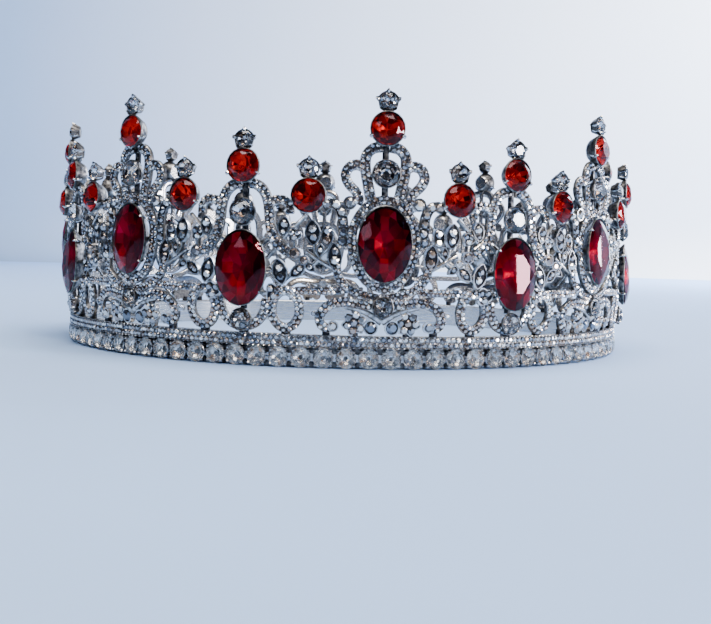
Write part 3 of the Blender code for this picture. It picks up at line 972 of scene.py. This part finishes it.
def askew(spin, amount, twist):
    """A stone's own small lean and swing, and its turn about the outward axis."""
    lean = Matrix.Rotation(spin.uniform(-amount, amount), 4, "X")
    swing = Matrix.Rotation(spin.uniform(-amount, amount), 4, "Z")
    return lean @ swing @ Matrix.Rotation(spin.uniform(0.0, twist), 4, "Y")


def build_large_stones(ovals, rounds):
    """Each coloured stone, standing where the frame has it."""
    oval_cuts = [large_stone_mesh(*OVAL_HALF, CROWN, PAVILION, seed, 1.0) for seed in range(4)]
    red_cuts = [large_stone_mesh(RED_HALF, RED_HALF, CROWN, PAVILION, seed)
                for seed in range(10, 14)]
    kinds = [("oval_stone", "ruby_oval", size, oval_cuts, ovals, "oval_stones")
             for size in ("tall", "medium")]
    kinds += [("red_stone", "siam_round", size, red_cuts, rounds, "round_stones")
              for size in ("tall", "medium", "small_left", "small_right")]
    spin = random.Random(SEED + 1)
    for node, name, size, cuts, materials, slot in kinds:
        for number in range(1, PANELS + 1):
            mesh = spin.choice(cuts)
            middle = in_mm(f"{node}_{size}_{number}")[0]
            angle = math.atan2(middle.x, -middle.y)
            place = wall_place(angle, STONE_RADIUS, middle.z)
            twist = 0.0 if cuts == oval_cuts else spin.uniform(0.0, 6.2)
            facing = OVAL_LEAN if cuts == oval_cuts else ROUND_LEAN
            lean = Matrix.Rotation(facing + spin.uniform(-0.03, 0.03), 4, "X")
            swing = Matrix.Rotation(spin.uniform(-0.04, 0.04), 4, "Z")
            turn = place @ lean @ swing @ Matrix.Rotation(twist, 4, "Y")
            place_piece(f"{name}_{size}_{number}", mesh.copy(), turn, materials,
                        f"{node}_{size}_{number}")


def ring_strip(editor, section, steps, patina):
    """A strip of any section turned round the crown's axis; section is (radius, height)."""
    profile = [((radius, 0.0, height), patina) for radius, height in section]
    turn_profile(editor, profile, (0, 0, 1), steps, closed=True)
    bmesh.ops.recalc_face_normals(editor, faces=editor.faces)


def build_base_band(strip):
    """The flat inner strip, with its edges chamfered."""
    editor = new_editor()
    top = RAIL_HIGH - 0.1
    edge = BAND_EDGE
    section = [(BAND_INNER, edge), (BAND_INNER + edge, 0.0), (BAND_OUTER - edge, 0.0),
               (BAND_OUTER, edge), (BAND_OUTER, top - edge), (BAND_OUTER - edge, top),
               (BAND_INNER + edge, top), (BAND_INNER, top - edge)]
    ring_strip(editor, section, 160, 0.0)
    finish_ring("base_band_strip", editor, [strip], "base_band", SMOOTH_UP_TO)


def build_cup_chain(strip, metal, glass, foil):
    """Linked cups with their stones, over a dark backing strip."""
    chain = new_editor()
    inner = BAND_OUTER + SOLDER_GAP
    outer = inner + 0.5
    backing = [(inner, 0.3), (outer, 0.3), (outer, CUPS_HIGH), (inner, CUPS_HIGH)]
    ring_strip(chain, backing, 200, 0.7)
    for face in chain.faces:
        face.material_index = 1
    girdle = CUPS_FRONT - 0.75
    height = BASE_HALF + 0.19
    cup = turned_cup(BASE_HALF, BASE_HALF, 1.7, 16, 0.18)
    for degrees in (42, 138, 222, 318):
        add_claw(cup, math.radians(degrees), BASE_HALF, BASE_HALF, 0.4)
    cup_mesh = to_mesh(cup, "base_cup")
    link = new_editor()
    bmesh.ops.create_cube(link, size=1.0)
    bmesh.ops.transform(link, matrix=Matrix.Diagonal((1.2, 0.9, 1.8, 1.0)), verts=link.verts)
    link_mesh = to_mesh(link, "base_link")
    stones = new_editor()
    cuts = [large_stone_mesh(BASE_HALF, BASE_HALF, *BASE_CUT, seed) for seed in range(20, 26)]
    spin = random.Random(SEED + 2)
    step = FULL_TURN / BASE_STONES
    for number in range(BASE_STONES):
        angle = (number + 0.5) * step
        place = wall_place(angle, girdle, height)
        stamp(chain, cup_mesh, place)
        stamp(chain, link_mesh, wall_place(angle + step / 2, girdle - 0.95, height))
        turn = askew(spin, 0.07, 6.2)
        stamp(stones, spin.choice(cuts), place @ turn)
    finish_ring("cup_chain_metal", chain, [strip, metal], "cup_chain",
                SMOOTH_UP_TO)
    finish_ring("cup_chain_stones", stones, [glass, foil])


def build_rail(metal, small):
    """Two staggered rows of small stones in a channel with a milled edge."""
    rail = new_editor()
    stones = new_editor()
    inner = BAND_OUTER + SOLDER_GAP
    front = RAIL_FRONT - 0.1
    low = RAIL_LOW - 0.1
    half_profile = [(inner, 0.0), (front, 0.0), (front + 0.15, 0.1), (front, 0.25),
                    (front - 0.25, 0.3)]
    section = [(radius, low + rise) for radius, rise in half_profile]
    section += [(radius, RAIL_HIGH - drop) for radius, drop in reversed(half_profile)]
    ring_strip(rail, section, 200, 0.3)
    stone = small_stone_mesh()
    spin = random.Random(SEED + 3)
    middle = (low + RAIL_HIGH) / 2
    apart = RAIL_HALF * 0.93
    for row, height in enumerate((middle - apart, middle + apart)):
        for number in range(RAIL_STONES):
            angle = FULL_TURN * (number + row / 2) / RAIL_STONES
            place = wall_place(angle, front - 0.06, height)
            turn = askew(spin, 0.18, 0.8) @ Matrix.Scale(RAIL_HALF, 4)
            # the last value picks the stone's painted flash
            stamp(stones, stone, place @ turn, spin.random())
    for edge, shift in ((low + 0.12, 0.25), (RAIL_HIGH - 0.12, 0.75)):
        for number in range(RAIL_STONES):
            angle = FULL_TURN * (number + shift) / RAIL_STONES
            grain = wall_place(angle, front + 0.12, edge) @ Matrix.Scale(RAIL_GRAIN, 4)
            stamp(rail, BALL, grain)
    finish_ring("rail_metal", rail, [metal], "pave_rail", SMOOTH_UP_TO)
    finish_ring("rail_stones", stones, [small])


# Stage, lights and camera

def studio_paint_with_painted_shade(name, low, high, painted_light_stops):
    """Matt emulsion, rolled on: pale round the crown and behind it, with painted shade that greys
    it towards the open front side and the left.

    It gives the eye soft, plain ground with no shine; the roller's mottle is broad, 330 mm.
    """
    material, tree, shader, place = new_material(name)
    axes = add_node(tree, "SeparateXYZ", links={"Vector": place}).outputs
    mottle = add_node(tree, "TexNoise", {"Scale": repeats(333.333)}, {"Vector": place})
    drift = add_node(tree, "Math", {"operation": "MULTIPLY_ADD", 1: 0.1},
                     {0: mottle, 2: axes["Y"]})
    depth = add_node(tree, "Math", {"operation": "MULTIPLY_ADD", 1: 0.8},
                     {0: axes["X"], 2: drift})
    # painted shade: the paint darkens towards the front and the left of the room
    painted_shade_fade = add_node(tree, "MapRange", {"From Min": low, "From Max": high}, {"Value": depth})
    ramp = add_node(tree, "ValToRGB", links={"Fac": painted_shade_fade}, stops=painted_light_stops)
    set_up(tree, shader, {"Roughness": 0.9}, {"Base Color": ramp})
    return material


def turned_stage(name, profile, material):
    """A surface of the studio, turned round the crown's axis."""
    editor = new_editor()
    turn_profile(editor, [((radius, 0.0, height), 0.0) for radius, height in profile],
                 (0, 0, 1), 96)
    bmesh.ops.remove_doubles(editor, verts=editor.verts, dist=1e-5)
    mesh = to_mesh(editor, name)
    mesh.shade_smooth()
    mesh.materials.append(material)
    board = bpy.data.objects.new(name, mesh)
    bpy.context.scene.collection.objects.link(board)


def build_stage():
    """A round studio: a pale floor that curves up into a wall, open at the top; both carry
    painted shade towards the front and the left.
    """
    edge = ROOM_RADIUS - ROOM_CURVE
    # the dark end of each ramp is painted shade at the room's front and left
    floor = studio_paint_with_painted_shade("matt_floor_paint_painted_shade", -0.9, -0.2,
                         ((0.0, "#3c4a62"), (0.5, "#8ca4c0"), (1.0, "#accefc")))
    turned_stage("studio_floor", [(0.0, 0.0), (edge, 0.0)], floor)
    profile = []
    for step in range(9):
        turn = math.pi / 2 * step / 8
        profile.append((edge + ROOM_CURVE * math.sin(turn), ROOM_CURVE * (1 - math.cos(turn))))
    profile.append((ROOM_RADIUS, ROOM_HEIGHT))
    wall = studio_paint_with_painted_shade("matt_wall_paint_painted_shade", 0.3, 2.1,
                        ((0.0, "#303c50"), (0.5, "#9cb4d2"), (1.0, "#fafcff")))
    turned_stage("studio_wall", profile, wall)


def add_light(name, place, target, size, power, tone):
    lamp = bpy.data.lights.new(name, "AREA")
    lamp.shape = "RECTANGLE"
    lamp.size, lamp.size_y = size
    lamp.energy = power
    lamp.color = colour(tone)[:3]
    light = bpy.data.objects.new(name, lamp)
    light.location = place
    light.rotation_euler = (Vector(target) - Vector(place)).to_track_quat("-Z", "Y").to_euler()
    light.visible_camera = False
    bpy.context.scene.collection.objects.link(light)


def build_lights():
    """A soft overhead light, windows that the stones mirror, and light for the wall."""
    middle = (0.0, 0.0, 0.03)
    add_light("top_softbox", (0.0, -0.1, 1.0), middle, (0.8, 0.6), 16.0, "#fffaf4")
    add_light("right_window", (0.751, -0.468, 0.12), middle, (0.12, 0.2), 8.0, "#f8f8ff")
    add_light("side_window", (0.88, 0.12, 0.12), middle, (0.14, 0.2), 4.5, "#f8f8ff")
    add_light("left_window", (-0.75, -0.75, 0.6), middle, (0.2, 0.4), 1.6, "#eef3ff")
    add_light("front_lamp", (0.34, -0.9, 0.62), middle, (0.12, 0.12), 5.0, "#fff0de")
    add_light("wall_wash", (1.1, 0.7, 0.8), (1.0, 1.2, 0.35), (0.5, 0.4), 52.0, "#eef4ff")
    add_light("wall_fill", (-0.2, 0.6, 0.9), (-0.1, 1.6, 0.4), (0.6, 0.4), 3.0, "#dce8ff")
    world = bpy.data.worlds.new("studio")
    bpy.context.scene.world = world
    world.use_nodes = True
    world.node_tree.nodes["Background"].inputs["Color"].default_value = colour("#b9c4d4")
    world.node_tree.nodes["Background"].inputs["Strength"].default_value = 0.12


def build_camera():
    """A camera low in front of the crown, a little to its left and turned to its right."""
    camera_data = bpy.data.cameras.new("camera")
    camera_data.lens = 47.84
    camera_data.sensor_width = 36.0
    camera_data.shift_x = -0.005
    camera_data.shift_y = -0.080
    camera_data.clip_start = 0.01
    camera = bpy.data.objects.new("camera", camera_data)
    swing = math.radians(6.9)
    around = math.radians(-6.06)
    away = 0.3202
    spot = Vector((away * math.sin(around), -away * math.cos(around), 0.0282))
    turn = (Matrix.Rotation(-swing, 4, "Z") @ Matrix.Rotation(math.pi / 2, 4, "X")
            @ Matrix.Rotation(0.027, 4, "Z"))
    camera.matrix_world = Matrix.Translation(spot) @ turn
    bpy.context.scene.collection.objects.link(camera)
    bpy.context.scene.camera = camera


def build_crown():
    metal = antique_silver_casting()
    strip = bright_silver_strip()
    small = small_rhinestone()
    clear = cut_glass("clear_lead_glass", "#f2f1ee", "#ffffff", 3.33333, "#ffffff")
    clear_foil = foil_with_painted_facet_light("clear_foil_painted_facet_light", CLEAR_PAINTED_FACET_LIGHT, 1.428571, 0.1)
    ruby = cut_glass("ruby_glass", "#b80c52", "#d0145c", 8.33333, "#b87484")
    ruby_foil = foil_with_painted_facet_light("ruby_foil_painted_facet_light", RUBY_PAINTED_FACET_LIGHT, 3.846154, 0.34)
    siam = cut_glass("siam_red_glass", "#dc2c30", "#f04440", 5.0, "#c88c94")
    siam_foil = foil_with_painted_facet_light("siam_foil_painted_facet_light", SIAM_PAINTED_FACET_LIGHT, 2.5, 0.3)
    build_base_band(strip)
    base_foil = foil_with_painted_facet_light("base_foil_painted_facet_light", BASE_PAINTED_FACET_LIGHT, 1.428571, 0.2)
    build_cup_chain(strip, metal, clear, base_foil)
    build_rail(metal, small)
    build_panels(metal, small, clear, clear_foil)
    build_large_stones([ruby, ruby_foil], [siam, siam_foil])


build_camera()
build_crown()
build_stage()
build_lights()
